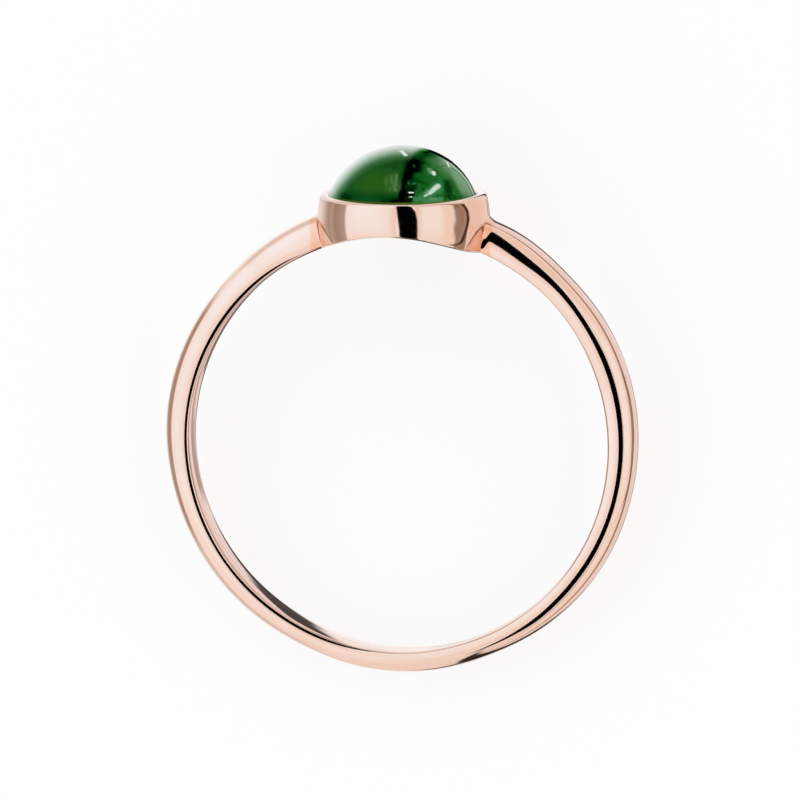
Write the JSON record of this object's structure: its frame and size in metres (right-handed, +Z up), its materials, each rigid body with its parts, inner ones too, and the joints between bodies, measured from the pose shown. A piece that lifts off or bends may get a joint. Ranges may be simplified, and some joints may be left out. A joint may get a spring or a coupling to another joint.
{
  "type": "tourmaline ring",
  "caption": "Slim finger ring with a domed round green cabochon in a smooth cup, lying on its side.",
  "frame": {"origin": "middle of the footprint, on the surface that the ring lies on", "axes": "+Z up from the surface; +Y from the back of the shank to the stone; +X to the right as the stone is seen at the top from above. The finger axis leans 8.5 degrees from +Z toward -Y"},
  "size_m": [0.0192, 0.0212, 0.007],
  "materials": {
    "rose_gold": "mirror-polished rose gold",
    "green_tourmaline": "polished, translucent, with fine inclusions"
  },
  "bodies": {
    "root": {"shank_and_bezel": "rose_gold", "tourmaline_cabochon": "green_tourmaline"}
  },
  "joints": []
}
